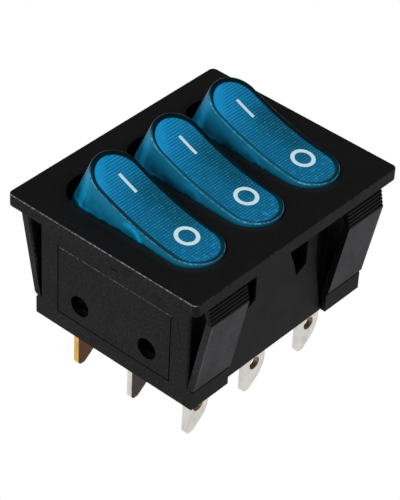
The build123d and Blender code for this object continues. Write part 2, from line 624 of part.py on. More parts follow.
# --- Output ------------------------------------------------------------------------------------------------
CELL_PARTS = (rocker, plunger, plunger_spring, lamp, lamp_contact, resistor,
              resistor_link, contact_lever, lever_contact, fixed_contact,
              line_terminal, common_terminal, lamp_terminal, lamp_leaf)


def main():
    """Build every piece and write one STEP file for each."""
    os.makedirs("parts", exist_ok=True)
    export_step(housing(), "parts/housing.step")
    for index, cell in enumerate(CELL_NAMES):
        for piece in CELL_PARTS:
            export_step(piece(index), f"parts/{piece.__name__}_{cell}.step")


main()
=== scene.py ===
"""Finishes and fine pieces for the triple rocker switch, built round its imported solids."""

import logging
import math
from collections.abc import Callable
from dataclasses import dataclass, field
from enum import Enum
from functools import cached_property

import bpy
from mathutils import Matrix, Vector


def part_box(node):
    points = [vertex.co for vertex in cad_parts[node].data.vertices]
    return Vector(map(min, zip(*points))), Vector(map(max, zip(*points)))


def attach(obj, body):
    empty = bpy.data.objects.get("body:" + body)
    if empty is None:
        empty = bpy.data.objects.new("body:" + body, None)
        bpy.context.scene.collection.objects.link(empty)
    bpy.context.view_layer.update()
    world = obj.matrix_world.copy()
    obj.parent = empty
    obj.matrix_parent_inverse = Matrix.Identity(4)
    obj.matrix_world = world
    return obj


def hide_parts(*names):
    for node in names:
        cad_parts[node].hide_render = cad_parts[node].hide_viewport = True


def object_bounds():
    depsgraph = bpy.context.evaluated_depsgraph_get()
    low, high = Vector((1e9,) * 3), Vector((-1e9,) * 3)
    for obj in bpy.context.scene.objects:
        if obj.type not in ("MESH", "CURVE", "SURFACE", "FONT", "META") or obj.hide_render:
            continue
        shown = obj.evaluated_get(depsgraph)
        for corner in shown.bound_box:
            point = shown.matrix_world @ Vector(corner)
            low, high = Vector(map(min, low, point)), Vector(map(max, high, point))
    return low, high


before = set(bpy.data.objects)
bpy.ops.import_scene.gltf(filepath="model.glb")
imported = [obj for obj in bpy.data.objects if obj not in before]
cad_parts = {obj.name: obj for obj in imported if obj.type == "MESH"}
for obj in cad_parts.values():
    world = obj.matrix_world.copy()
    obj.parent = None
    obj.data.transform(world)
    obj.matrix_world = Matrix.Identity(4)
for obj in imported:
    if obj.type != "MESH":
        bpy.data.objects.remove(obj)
CAD_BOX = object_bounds()

MM = 0.001
TINY = 1e-6  # metres, when vertices are sorted by place
STEPS = 96  # vertices round a full circle
CELLS = ("left", "middle", "right")
log = logging.getLogger("switch")


# --- Shader values --------------------------------------------------------------------
class Wire:
    """A value in a node tree that takes Python's operators."""

    def __init__(self, bench: "Bench", socket: bpy.types.NodeSocket) -> None:
        """Wraps an output socket of the bench's tree."""
        self.bench = bench
        self.socket = socket

    def __add__(self, other: "Wire | float") -> "Wire":
        """Sum."""
        return self.bench.maths("ADD", self, other)

    __radd__ = __add__

    def __sub__(self, other: "Wire | float") -> "Wire":
        """Difference."""
        return self.bench.maths("SUBTRACT", self, other)

    def __rsub__(self, other: float) -> "Wire":
        """Difference with a number on the left."""
        return self.bench.maths("SUBTRACT", other, self)

    def __mul__(self, other: "Wire | float") -> "Wire":
        """Product."""
        return self.bench.maths("MULTIPLY", self, other)

    __rmul__ = __mul__

    def __neg__(self) -> "Wire":
        """Opposite."""
        return self.bench.maths("MULTIPLY", self, -1.0)

    def __abs__(self) -> "Wire":
        """Size without sign."""
        return self.bench.maths("ABSOLUTE", self)


Value = Wire | float | int | tuple


class Bench:
    """The node tree of one material or world."""

    def __init__(self, name: str, world: bool = False) -> None:
        """Starts an empty tree.

        Args:
            name: The material's or world's name.
            world: Whether it belongs to a world.
        """
        self.kind = "World" if world else "Material"
        self.owner = (bpy.data.worlds if world else bpy.data.materials).new(name)
        self.owner.use_nodes = True
        self.tree = self.owner.node_tree
        self.tree.nodes.clear()

    def node(self, kind: str, settings: dict | None = None,
             inputs: dict | None = None, output: int | str = 0) -> Wire:
        """Adds one node.

        Args:
            kind: The node's type, without its ShaderNode prefix.
            settings: Attributes that are set first, such as an operation.
            inputs: Values or wires by socket name or number.
            output: The socket that the result reads.

        Returns:
            The chosen output as a wire.
        """
        made = self.tree.nodes.new("ShaderNode" + kind)
        for name, value in (settings or {}).items():
            setattr(made, name, value)
        for key, value in (inputs or {}).items():
            if isinstance(value, Wire):
                self.tree.links.new(value.socket, made.inputs[key])
            else:
                made.inputs[key].default_value = value
        return Wire(self, made.outputs[output])

    def maths(self, operation: str, *values: Value) -> Wire:
        """Adds a Math node on up to three values."""
        return self.node("Math", {"operation": operation}, dict(enumerate(values)))

    def span(self, across: Wire, along: Wire) -> Wire:
        """Length of the slanted line between two distances at right angles."""
        return self.maths("SQRT", across * across + along * along)

    def beyond(self, x: Wire, y: Wire, width: float, length: float) -> Wire:
        """Distance outwards from a round-ended outline along Y, below 0 inside it."""
        along = self.maths("MAXIMUM", abs(y) - (length - width) / 2, 0.0)
        return self.span(x, along) - width / 2

    def in_cell(self, x: Wire, pitch: float) -> Wire:
        """Place across the nearest cell of the row."""
        return self.maths("WRAP", x, pitch / 2, -pitch / 2)

    def parts(self, vector: Wire) -> list[Wire]:
        """The X, Y and Z parts of a vector."""
        return [self.node("SeparateXYZ", inputs={0: vector}, output=i) for i in range(3)]

    @cached_property
    def here(self) -> list[Wire]:
        """The shaded point's place in millimetres."""
        return self.place()

    @cached_property
    def normal(self) -> list[Wire]:
        """The parts of the surface's normal."""
        return self.parts(self.node("NewGeometry", output="Normal"))

    def place(self, shift: tuple = (0, 0, 0), turn: tuple = (0, 0, 0)) -> list[Wire]:
        """Object coordinates in millimetres, moved and then turned.

        Args:
            shift: The point in metres that becomes the origin.
            turn: Angles in radians about X, Y and Z.

        Returns:
            The three coordinates.
        """
        place = self.node("TexCoord", output="Object")
        moved = self.node("VectorMath", {"operation": "SUBTRACT"}, {0: place, 1: shift})
        turned = self.node("Mapping", {"vector_type": "POINT"},
                           {"Vector": moved, "Rotation": turn, "Scale": (1 / MM,) * 3})
        return self.parts(turned)

    def noise(self, scale: float, detail: float, stretch: tuple = (1, 1, 1)) -> Wire:
        """Fractal noise over the object, from 0 to 1.

        Args:
            scale: Lumps per metre.
            detail: Octaves.
            stretch: Scale along each axis.

        Returns:
            The noise's value.
        """
        place = self.node("Mapping", inputs={
            "Vector": self.node("TexCoord", output="Object"), "Scale": stretch})
        return self.node("TexNoise", {"noise_dimensions": "3D"}, {
            "Vector": place, "Scale": scale, "Detail": detail, "Roughness": 0.6})

    def ramp(self, value: Wire, low: float, high: float, start: float = 0.0,
             end: float = 1.0) -> Wire:
        """Smooth step between two results.

        Args:
            value: What is measured.
            low: Where the step begins.
            high: Where it is complete.
            start: The result before low.
            end: The result past high.

        Returns:
            The result.
        """
        return self.node("MapRange", {"interpolation_type": "SMOOTHSTEP"}, {
            "Value": value, "From Min": low, "From Max": high,
            "To Min": start, "To Max": end})

    def blend(self, share: Value, first: Value, second: Value) -> Wire:
        """Mixes two colours.

        Args:
            share: How much of the second shows.
            first: Colour or wire at 0.
            second: Colour or wire at 1.

        Returns:
            The mixed colour.
        """
        inputs: dict = {0: share}
        for index, colour in ((6, first), (7, second)):
            inputs[index] = colour if isinstance(colour, Wire) else (*colour, 1.0)
        return self.node("Mix", {"data_type": "RGBA"}, inputs, 2)

    def occlusion(self, reach: float) -> Wire:
        """How open a point is, 1 with no wall nearer than reach metres."""
        return self.node("AmbientOcclusion", {"samples": 8}, {"Distance": reach}, "AO")

    def bump(self, height: Wire, depth: float, strength: float) -> Wire:
        """Normal of a surface raised by height, depth metres at most."""
        return self.node("Bump", inputs={
            "Height": height, "Distance": depth, "Strength": strength}, output="Normal")

    def finish(self, shader: Wire) -> bpy.types.Material | bpy.types.World:
        """Joins a shader to the output.

        Args:
            shader: The finished shader.

        Returns:
            The material or world that owns the tree.
        """
        out = self.tree.nodes.new("ShaderNodeOutput" + self.kind)
        self.tree.links.new(shader.socket, out.inputs["Surface"])
        return self.owner


# --- Finishes -------------------------------------------------------------------------
@dataclass(frozen=True)
class MouldedNylon:
    """Black moulded nylon, finely spark-textured, with light and shade painted into its
    colour.

    The top is a darker, shaded copy of the flanks' black; the wing plates are paler with
    painted floor light; hollows, the wings' inner sides and the openings' far ends take
    painted shade; beside the openings the bezel takes a painted teal spill of light from the
    caps; the bevel, the frame line's lip and the plates' edges take painted highlights.
    Sizes and places are in millimetres, colours are linear.
    """

    name: str = "black_nylon"
    # painted shade and painted light: the top is a darker copy and the flanks a lighter copy
    # of one black, for how the light falls
    top: tuple = (0.0027, 0.0027, 0.0028)
    flank: tuple = (0.0037, 0.0037, 0.0045)
    # painted floor light: the wing plates' paler black; also the colour of the larger pale
    # specks
    plate: tuple = (0.034, 0.033, 0.039)
    speck: tuple = (0.075, 0.073, 0.080)
    # painted highlight on the bevel, the frame line's lower lip and the plates' edges
    lip: tuple = (0.27, 0.28, 0.29)
    # painted shade in hollows, at the openings and on the wings' inner sides; also the
    # colour of the dark grains
    shade_and_dark_grain: tuple = (0.0003, 0.0002, 0.0003)
    # painted teal light that the caps spill onto the bezel
    teal_spill: tuple = (0.0040, 0.0105, 0.0120)
    mouth_width: float = 8.3
    mouth_length: float = 23.5
    plate_start: float = 13.0
    plate_foot: float = -14.9
    plate_head: float = -2.9
    side_face: float = 16.1
    bevel_z: float = 1.2
    frame_line: tuple = (-8.5, -3.75)
    # how far off walls darken a point with painted shade, in mm
    shade_reach: float = 3.5
    grain_depth: float = 0.04

    def make(self, pitch: float) -> bpy.types.Material:
        """Builds the material.

        Args:
            pitch: Distance between the rockers' openings, in mm.

        Returns:
            The material.
        """
        b = Bench(self.name)
        x, y, _ = b.here
        side, _, facing = b.normal
        upward = b.ramp(facing, 0.8, 0.95)
        fine = b.noise(9000.0, 2.0)
        broad = b.noise(260.0, 4.0)
        plates = self.plate_share(b)
        # painted light: the wing plates paler
        colour = b.blend(plates, self.flank, self.plate)
        # painted shade: upward faces take the darker top colour
        colour = b.blend(upward, colour, self.top)
        colour = self.speckle(b, colour, 0.02 + 0.12 * abs(side) + 0.25 * plates, broad)
        # painted shade: darker where walls are near
        open_air = b.ramp(b.occlusion(self.shade_reach * MM), 0.35, 0.85)
        colour = b.blend(open_air, self.shade_and_dark_grain, colour)
        colour = self.mouth_shade(b, colour, upward, pitch)
        # painted shade on the wings' sides that face the middle of the row
        inward = b.ramp(-side * b.maths("SIGN", x), 0.6, 0.9)
        wings = b.ramp(abs(y), self.plate_start, self.plate_start + 0.4)
        colour = b.blend(inward * wings, colour, self.shade_and_dark_grain)
        # painted highlights on the bevel, the lip and the plates' edges, broken up by noise
        plate_edge = b.ramp(abs(x), self.side_face - 0.3, self.side_face - 0.1)
        lips = b.maths("MAXIMUM", self.lip_highlights(b), 0.2 * plates * plate_edge)
        highlight_breaks = b.ramp(b.noise(3200.0, 2.0), 0.42, 0.62, 0.2, 1.0)
        colour = b.blend(lips * highlight_breaks, colour, self.lip)
        height = fine * 0.7 + b.noise(2600.0, 3.0) * 0.6
        shader = b.node("BsdfPrincipled", inputs={
            "Base Color": colour,
            "Roughness": 0.46 + 0.14 * broad + 0.06 * fine - 0.1 * lips,
            "Normal": b.bump(height, self.grain_depth * MM, 0.5),
            "Specular IOR Level": 0.09})
        return b.finish(shader)

    def speckle(self, b: Bench, colour: Wire, pale: Wire, broad: Wire) -> Wire:
        """Spark texture: pale grains, dark grains in drifts, and a few larger specks.

        Args:
            b: The material's bench.
            colour: The moulding's colour so far.
            pale: How strongly the pale grains show.
            broad: The noise that gathers the dark grains.

        Returns:
            The speckled colour.
        """
        light = b.ramp(b.noise(2700.0, 2.0), 0.42, 0.68)
        colour = b.blend(light * pale, colour, self.speck)
        dark = b.ramp(b.noise(4200.0, 2.0), 0.35, 0.7, 0.5, 0.0) * b.ramp(broad, 0.3, 0.7)
        colour = b.blend(dark, colour, self.shade_and_dark_grain)
        large = b.ramp(b.noise(2100.0, 4.0), 0.66, 0.74, 0.0, 0.3)
        return b.blend(large, colour, self.plate)

    def mouth_shade(self, b: Bench, colour: Wire, upward: Wire, pitch: float) -> Wire:
        """Paints shade on the top at each opening's far end, and a teal spill of light from
        the caps along one side.

        Args:
            b: The material's bench.
            colour: The moulding's colour so far.
            upward: 1 on the bezel's top.
            pitch: Distance between the openings, in mm.

        Returns:
            The colour round the openings, with that painted light and shade.
        """
        along_row, y, _ = b.here
        x = b.in_cell(along_row, pitch)
        gap = b.beyond(x, y, self.mouth_width, self.mouth_length)
        row = upward * b.maths("LESS_THAN", abs(along_row), len(CELLS) * pitch / 2)
        # painted light: a teal spill beside each opening
        beside = b.ramp(x + 0.2 * y, -3.5, -1.5, 1.0, 0.0) * b.ramp(y, 6.0, 9.0, 1.0, 0.0)
        spill_share = b.ramp(gap, 0.1, 1.2, 0.9, 0.0) * beside
        colour = b.blend(spill_share * row, colour, self.teal_spill)
        # painted shade at each opening's far end
        deep = b.ramp(gap, 0.0, 1.1, 0.85, 0.0) * b.ramp(y, 7.5, 9.5)
        return b.blend(deep * row, colour, self.shade_and_dark_grain)

    def plate_share(self, b: Bench) -> Wire:
        """Where painted floor light makes the wing plates paler, fading down and outwards.

        Args:
            b: The material's bench.

        Returns:
            The share of the plates' painted light.
        """
        x, y, z = b.here
        outside = b.ramp(abs(y), self.plate_start, self.plate_start + 0.4)
        above = b.ramp(z, self.plate_foot - 0.1, self.plate_foot + 0.1)
        below = b.ramp(z, self.plate_head - 0.1, self.plate_head + 0.1, 1.0, 0.0)
        shade = z + 5.0 * b.noise(260.0, 3.0) - 0.5 * abs(x)
        # painted shade: the plates darker downwards
        fade = b.ramp(shade, self.plate_foot - 6.0, self.plate_foot, 0.3, 1.1)
        # painted light: strongest on faces that look along Y
        front = b.ramp(abs(b.normal[1]), 0.3, 0.8, 0.15, 1.0)
        return outside * above * below * fade * front

    def lip_highlights(self, b: Bench) -> Wire:
        """Painted highlights where the bezel's bevel and the frame line's lower lip catch
        the light.

        Args:
            b: The material's bench.

        Returns:
            The share of the highlights' colour.
        """
        x, _, z = b.here
        side, _, facing = b.normal
        low, high = self.frame_line
        slanted = b.ramp(facing, 0.60, 0.68) * b.ramp(facing, 0.73, 0.80, 1.0, 0.0)
        bevel = slanted * b.ramp(z, self.bevel_z - 0.2, self.bevel_z + 0.2)
        bevel = bevel * b.ramp(abs(side), 0.3, 0.6, 0.1, 0.7)
        wall = b.ramp(abs(x), self.side_face - 0.05, self.side_face + 0.05)
        lip = b.ramp(facing, 0.9, 0.95) * wall * b.ramp(z, low - 0.5, low + 0.5)
        lip = lip * b.ramp(z, high - 0.25, high + 0.25, 1.0, 0.0)
        return b.maths("MINIMUM", bevel + lip, 1.0)


@dataclass(frozen=True)
class CapPoint:
    """A shaded point of a cap, in millimetres on the level rocker."""

    b: Bench  # the material's bench
    x: Wire  # place across the rocker
    y: Wire  # place along it
    z: Wire  # height above its pivot
    depth: Wire  # distance below the dished top
    sill: Wire  # height above the bezel, the rocker at rest
    outer: Wire  # distance inwards from the rim's outline
    inner: Wire  # the same from that outline moved with the panel
    far: Wire  # 1 on the rim's far side
    later: Wire  # 0 in the first cell to 1 in the others
    cloudy: Wire  # the noise that varies the gloss


@dataclass(frozen=True)
class TealLens:
    """Glossy teal cap plastic: gridded panel under it, dark clear rim, milky skirt.

    Light and shade are painted into its colour: glare, glitter, glints and a shaded middle
    on the panel, painted shade in the rim and low on the skirt, a painted highlight along
    the rim's edge, painted light at the rim's ends and painted glow inside the skirt. Sizes
    and places are in millimetres, colours are linear. A pair of places gives where an effect
    starts and where it is complete.
    """

    name: str = "teal_lens"
    panel: tuple = (0.0036, 0.160, 0.325)
    # painted glare towards the raised end, and the panel's painted glitter
    panel_glare: tuple = (0.0080, 0.300, 0.640)
    # painted shade in the panel's middle
    panel_shade: tuple = (0.0016, 0.095, 0.165)
    # painted glints in the grid's cells
    glint: tuple = (0.060, 0.480, 0.760)
    groove: tuple = (0.0006, 0.036, 0.064)
    # painted shade: the clear rim dark with the unlit inside seen through it, deeper on the
    # far side; the deeper one also darkens the skirt's dark places
    rim: tuple = (0.0008, 0.0320, 0.0520)
    deep_shade: tuple = (0.0008, 0.0100, 0.0140)
    # painted highlight along the rim's rounded edge
    line: tuple = (0.17, 0.44, 0.60)
    skirt: tuple = (0.008, 0.170, 0.300)
    # painted shade on the skirt, lower down
    skirt_shade: tuple = (0.003, 0.066, 0.105)
    # painted light along the rim's outer edge near the ends
    lip: tuple = (0.003, 0.130, 0.230)
    # painted glow inside the skirt, though nothing there is a lamp
    glow: tuple = (0.005, 0.33, 0.68)
    grid_pitch: tuple = (0.396, 0.378)
    panel_edge: tuple = (0.54, 0.70)
    # moves the panel's outline, so the rim's painted shade is wider on the far side
    panel_shift: tuple = (0.14, 0.15)
    ripple: float = 0.01
    past_first: tuple = (-8.0, -3.0)
    lip_band: tuple = (0.16, 0.28)
    line_band: tuple = (0.04, 0.11)
    boss: tuple = (0.1, 3.2)
    boss_radius: float = 1.87
    boss_wall: tuple = (0.14, 0.52)
    notch: tuple = (3.25, 2.35)
    notch_edge: tuple = (0.10, 0.4)
    end_light: tuple = (7.6, 8.0)
    end_dim: tuple = (8.5, 9.2)
    end_shade: tuple = (8.7, 9.6)

    def make(self, cap: "RockerCap", pitch: float) -> bpy.types.Material:
        """Builds the material for every cap of the row.

        Args:
            cap: The cap whose sizes place the panel.
            pitch: Distance between cells, in mm.

        Returns:
            The material.
        """
        b = Bench(self.name)
        at = self.point(b, cap, pitch)
        on_top = b.ramp(at.depth, 0.12, 0.3, 1.0, 0.0)
        panel = b.ramp(at.inner, *self.panel_edge) * on_top
        colour = b.blend(on_top, self.skirt_colour(at), self.band_colour(at))
        colour = b.blend(panel, colour, self.panel_colour(at))
        colour = b.blend(self.line_share(at), colour, self.line)
        shader = b.node("BsdfPrincipled", inputs={
            "Base Color": colour,
            "Roughness": 0.24 + 0.1 * at.cloudy,
            "Normal": b.bump(b.noise(1500.0, 2.0), self.ripple * MM, 0.25),
            "Specular IOR Level": 0.03,
            "Coat Weight": 0.16 * panel + 0.03 * (1.0 - on_top),
            "Coat Roughness": 0.22})
        return b.finish(shader)

    def point(self, b: Bench, cap: "RockerCap", pitch: float) -> CapPoint:
        """Finds where the shaded point lies.

        Args:
            b: The material's bench.
            cap: The cap whose sizes place the panel.
            pitch: Distance between cells, in mm.

        Returns:
            The point.
        """
        x, y, z = b.place((0, 0, cap.pivot_z * MM), (-math.radians(cap.tilt), 0, 0))
        x = b.in_cell(x, pitch)
        dish = cap.height + cap.dish_radius - b.maths("SQRT", cap.dish_radius ** 2 - y * y)
        rim = (cap.rim_width, cap.rim_length)
        shift_x, shift_y = self.panel_shift
        later = b.ramp(b.here[0], *self.past_first)
        return CapPoint(
            b, x, y, z, depth=dish - z, sill=b.here[2] - cap.sill,
            outer=-b.beyond(x, y, *rim),
            inner=-b.beyond(x + shift_x + 0.10 * later, y + shift_y, *rim),
            far=b.ramp(x + 0.35 * y, -1.0, 1.5), later=later, cloudy=b.noise(420.0, 3.0))

    def band_colour(self, at: CapPoint) -> Wire:
        """Clear rim in painted shade, with painted light along its outer edge near the ends,
        where light runs through the cap.

        Args:
            at: The shaded point.

        Returns:
            The rim's colour.
        """
        b = at.b
        raised = at.later * b.ramp(at.y, 7.5, 9.5, 1.0, 0.0)
        pressed = b.ramp(at.y, -8.6, -6.6, 1.0, 0.0)
        lit = b.maths("MAXIMUM", raised, pressed)
        lit = lit * b.ramp(at.x - 0.3 * at.y, 0.0, 2.4, 0.8, 0.0)
        edge = b.ramp(at.outer, *self.lip_band, 1.0, 0.0)
        return b.blend(edge * lit, b.blend(at.far, self.rim, self.deep_shade), self.lip)

    def line_share(self, at: CapPoint) -> Wire:
        """The painted highlight, a sparkling line, along the rim's rounded edge.

        Args:
            at: The shaded point.

        Returns:
            The share of the highlight's colour.
        """
        b = at.b
        line = b.ramp(at.outer, *self.line_band, 1.0, 0.0)
        line = line * b.ramp(at.depth, 0.14, 0.24, 1.0, 0.0)
        sparkle = b.ramp(b.noise(2400.0, 2.0), 0.40, 0.60, 0.2, 1.0)
        return line * (0.78 + 0.19 * at.later) * (1.0 - 0.96 * at.far) * sparkle

    def panel_colour(self, at: CapPoint) -> Wire:
        """The moulded grid, with painted glare towards the raised end, painted glitter
        towards the pressed end, painted shade in the middle and painted glints in its cells.

        Args:
            at: The shaded point.

        Returns:
            The panel's colour.
        """
        b, x, y = at.b, at.x, at.y
        pitch_x, pitch_y = self.grid_pitch
        line_x = b.maths("PINGPONG", x + pitch_x / 4, pitch_x / 2)
        line_y = b.maths("PINGPONG", y, pitch_y / 2)
        lines = b.maths("MAXIMUM", b.ramp(line_x, 0.0, 0.10, 0.5, 0.0),
                        b.ramp(line_y, 0.0, 0.10, 1.0, 0.0))
        cells = b.ramp(b.maths("MINIMUM", line_x, line_y), 0.08, 0.16)
        drift = b.noise(330.0, 3.0)
        # painted glare: the raised end washed brighter
        raised = b.ramp(y - 0.7 * x + 3.0 * drift, 2.0, 12.0)
        body = b.blend(raised, self.panel, self.panel_glare)
        # painted shade in the panel's middle
        middle = b.ramp(abs(y + 0.3), 2.0, 7.0, 1.0, 0.0)
        deep = b.ramp(x + 1.6 * drift, -0.6, 2.6) * middle
        body = b.blend(deep * 0.85, body, self.panel_shade)
        # painted glitter, strongest towards the pressed end
        glitter = b.ramp(b.noise(1300.0, 2.0), 0.48, 0.70) * b.ramp(y, -8.8, -4.5, 0.9, 0.1)
        body = b.blend(glitter, body, self.panel_glare)
        # painted glare washes out the grid lines towards the raised end; their contrast
        # follows noise and the painted shade
        washed = b.ramp(y - 1.3 * x, 8.4, 10.4, 1.0, 0.1)
        grid_contrast = 0.55 + 0.35 * at.cloudy + 0.2 * deep
        body = b.blend(lines * washed * grid_contrast, body, self.groove)
        # painted glints in the cells
        sparks = cells * b.ramp(b.noise(1700.0, 2.0), 0.48, 0.64)
        return b.blend(sparks * 0.45, body, self.glint)

    def skirt_colour(self, at: CapPoint) -> Wire:
        """Milky flanks, with painted shade lower down and in dark places, and painted glow
        over the moulded shapes inside.

        Args:
            at: The shaded point.

        Returns:
            The flank's colour.
        """
        b = at.b
        along, rise = at.y - self.boss[0], at.z - self.boss[1]
        reach = b.span(along, rise) - self.boss_radius
        arc = b.ramp(abs(reach), *self.boss_wall, 1.0, 0.0)
        arc = arc * b.ramp(rise - 0.4 * along, 0.5, 1.3) * (1.0 - 0.7 * at.later)
        # painted shade: darker towards the bottom
        low = b.ramp(at.depth - 0.08 * at.y, 0.2, 4.2)
        side = b.blend(low, self.skirt, self.skirt_shade)
        # painted glow over the skirt
        side = b.blend(self.glow_share(at, arc), side, self.glow)
        # painted shade inside the boss's arc
        under = b.ramp(reach, -0.9, -0.5, 0.3, 0.0)
        dark = b.maths("MAXIMUM", under, self.dark_share(at))
        return b.blend(dark, side, self.deep_shade)

    def glow_share(self, at: CapPoint, arc: Wire) -> Wire:
        """Painted glow inside the flank: drifting pools, the boss's arc, the raised end, the
        hem.

        Args:
            at: The shaded point.
            arc: Where the upper half of the boss's wall shows.

        Returns:
            The share of the glow's colour.
        """
        b = at.b
        pools = b.ramp(b.noise(420.0, 3.0), 0.45, 0.68, 0.0, 0.25)
        pools = pools * b.ramp(at.depth, 1.2, 2.6) * b.ramp(at.depth, 6.0, 8.0, 1.0, 0.0)
        arc = arc * b.ramp(b.noise(1300.0, 2.0), 0.35, 0.55, 0.45, 1.0)
        end = b.ramp(at.y, *self.end_light, 0.0, 0.36)
        end = end * b.ramp(at.y, *self.end_dim, 1.0, 0.2)
        hem = b.ramp(at.sill, 0.1, 0.5, 0.2, 0.0) * b.ramp(at.y, 3.6, 4.6)
        return b.maths("MINIMUM", pools + arc + end + hem, 1.0)

    def dark_share(self, at: CapPoint) -> Wire:
        """The flank's dark places: painted shade at its ragged foot by the bezel and on the
        raised end's face, and one dark notch.

        Args:
            at: The shaded point.

        Returns:
            The share of the dark colour.
        """
        b, y = at.b, at.y
        # painted shade along the skirt's foot by the bezel
        ragged = b.ramp(at.sill - 1.6 * b.noise(560.0, 2.0), -1.10, -0.80, 0.8, 0.0)
        foot = ragged * b.ramp(at.sill, -1.6, -0.6) * b.ramp(y, -5.0, -2.5)
        reach = b.span(y - self.notch[0], at.z - self.notch[1])
        notch = b.ramp(reach, *self.notch_edge, 0.8, 0.0)
        # painted shade on the raised end's face
        end = b.ramp(y, *self.end_shade, 0.0, 0.36)
        return b.maths("MAXIMUM", b.maths("MAXIMUM", foot, notch), end)


class MetalLook(Enum):
    """The metals of the switch: colour, then roughness."""

    TIN = ((0.68, 0.655, 0.62), 0.30)
    BRASS = ((0.74, 0.43, 0.12), 0.26)
    COPPER = ((0.78, 0.42, 0.25), 0.28)
    SILVER = ((0.80, 0.79, 0.76), 0.25)
    STEEL = ((0.52, 0.52, 0.53), 0.28)
    BRONZE = ((0.62, 0.36, 0.16), 0.33)


@dataclass(frozen=True)
class StripMetal:
    """Rolled or plated metal: fine drawn lines, faint tarnish and dull patches."""

    name: str
    look: MetalLook

    def make(self) -> bpy.types.Material:
        """Builds the material."""
        b = Bench(self.name)
        return self.shade(b, self.look.value[0])

    def shade(self, b: Bench, colour: Value, metal: Value = 1.0) -> bpy.types.Material:
        """Finishes the metal over a colour.

        Args:
            b: The material's bench.
            colour: Colour or wire of the clean metal.
            metal: How metallic it is, less on faces in painted shade.

        Returns:
            The material.
        """
        drawn = b.noise(2200.0, 3.0, stretch=(1, 1, 0.06))
        patches = b.noise(420.0, 4.0)
        dull = b.blend(0.62, (0.0, 0.0, 0.0), colour)
        base = b.blend(b.ramp(patches, 0.42, 0.78, 0.0, 0.6), colour, dull)
        shader = b.node("BsdfPrincipled", inputs={
            "Base Color": base,
            "Metallic": metal,
            "Specular IOR Level": 0.1,
            "Roughness": self.look.value[1] + 0.16 * patches,
            "Normal": b.bump(drawn, 0.012 * MM, 0.35)})
        return b.finish(shader)


@dataclass(frozen=True)
class BladeStrip(StripMetal):
    """Blade metal with bare brass in each hole and one row's rolled front faces in painted
    shade.

    Sizes and places are in millimetres. The row shares say how far the middle row's and the
    outer rows' front faces are darkened with painted shade.
    """

    # painted shade: a darker copy of the metal on front faces below the body
    shaded_face: tuple = (0.045, 0.030, 0.021)
    row_shares: tuple = (1.0, 0.0)
    bare: tuple = (0.46, 0.33, 0.19)
    body_foot: float = -17.4
    hole_z: float = -22.65
    hole_radius: float = 0.9

    def punched(self, pitch: float) -> bpy.types.Material:
        """Builds the material.

        Args:
            pitch: Distance between cells, in mm.

        Returns:
            The material.
        """
        b = Bench(self.name)
        x, y, z = b.here
        row = b.ramp(abs(y), 3.0, 5.0, *self.row_shares)
        below = b.ramp(z, self.body_foot - 0.3, self.body_foot + 0.3, 0.95, 0.0)
        # painted shade on the chosen rows' front faces below the body
        face_shade = row * below * b.ramp(-b.normal[1], 0.6, 0.9)
        reach = b.span(b.in_cell(x, pitch), z - self.hole_z)
        cut = b.ramp(reach, self.hole_radius + 0.03, self.hole_radius + 0.06, 1.0, 0.0)
        colour = b.blend(face_shade, self.look.value[0], self.shaded_face)
        # less metallic where painted shade darkens the faces, and half in the holes
        metal = 1.0 - face_shade - 0.5 * cut * (1.0 - face_shade)
        return self.shade(b, b.blend(cut, colour, self.bare), metal)


@dataclass(frozen=True)
class Coat:
    """Ink, glass or lacquer, whose colour and gloss drift with one noise."""

    name: str
    colour: tuple  # at most places
    patch: tuple  # the colour that drifts in
    grain: tuple  # the noise's lumps per metre and its octaves
    drift: tuple  # where in the noise patches start and are full; their share
    gloss: tuple  # roughness at the noise's 0, and its rise to the noise's 1
    relief: float = 0.0  # height of the noise's bumps in mm
    clear: float = 0.0  # how much light passes through
    bending: float = 1.47  # index of refraction, where it is clear

    def make(self) -> bpy.types.Material:
        """Builds the material."""
        b = Bench(self.name)
        noise = b.noise(*self.grain)
        start, full, share = self.drift
        inputs: dict = {
            "Base Color": b.blend(b.ramp(noise, start, full, 0.0, share),
                                  self.colour, self.patch),
            "Roughness": self.gloss[0] + self.gloss[1] * noise}
        if self.relief:
            inputs["Normal"] = b.bump(noise, self.relief * MM, 0.3)
        if self.clear:
            inputs |= {"Transmission Weight": self.clear, "IOR": self.bending}
        return b.finish(b.node("BsdfPrincipled", inputs=inputs))


INK = Coat("white_ink", (0.61, 0.81, 0.87), (0.30, 0.52, 0.60), grain=(2600.0, 3.0),
           drift=(0.55, 0.8, 0.35), gloss=(0.42, 0.1), relief=0.008)
GLASS = Coat("lamp_glass", (0.95, 0.92, 0.88), (0.90, 0.75, 0.62), grain=(500.0, 2.0),
             drift=(0.4, 0.7, 1.0), gloss=(0.08, 0.06), clear=0.85)
LACQUER = Coat("resistor_lacquer", (0.48, 0.33, 0.17), (0.36, 0.24, 0.12),
               grain=(900.0, 3.0), drift=(0.35, 0.7, 1.0), gloss=(0.35, 0.15),
               relief=0.02)

# What the pieces are finished in.
Finish = Enum("Finish",
              "NYLON LENS TIN BRASS COPPER SILVER STEEL BRONZE INK GLASS LACQUER")


# --- Modelling moves ------------------------------------------------------------------
class Part(Enum):
    """What a selection picks, with the names of Blender's select modes."""

    CORNERS = "VERT"
    EDGES = "EDGE"


def fresh() -> None:
    """Leaves object mode with nothing selected."""
    if bpy.context.object and bpy.context.object.mode != "OBJECT":
        close()
    bpy.ops.object.select_all(action="DESELECT")


def open_all() -> None:
    """Opens edit mode with everything selected."""
    bpy.ops.object.mode_set(mode="EDIT")
    bpy.ops.mesh.select_all(action="SELECT")


def close() -> None:
    """Goes back from edit mode to object mode."""
    bpy.ops.object.mode_set(mode="OBJECT")


def apply_place() -> None:
    """Takes the selected object's place, turn and size into its mesh."""
    bpy.ops.object.transform_apply(location=True, rotation=True, scale=True)


